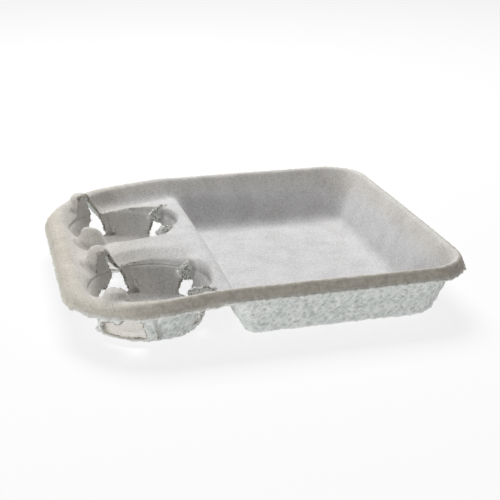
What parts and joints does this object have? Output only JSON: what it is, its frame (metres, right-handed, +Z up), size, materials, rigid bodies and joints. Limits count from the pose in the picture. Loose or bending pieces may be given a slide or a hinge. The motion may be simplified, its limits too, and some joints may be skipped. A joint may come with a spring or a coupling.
{
  "type": "cup carrier with food tray",
  "caption": "Moulded pulp carrier formed from one sheet: a deep food tray at one end, cup pockets with torn corner slots at the other, inside a rolled-over rim.",
  "frame": {"origin": "middle of the carrier's length and width, on the surface that it stands on", "axes": "+Z up, +X from the cup pockets to the food tray, +Y across the carrier"},
  "size_m": [0.2444, 0.2279, 0.039],
  "materials": {
    "pulp": "matte, fibrous moulded pulp, smoother inside than underneath"
  },
  "bodies": {
    "root": {"carrier": "pulp"}
  },
  "joints": []
}
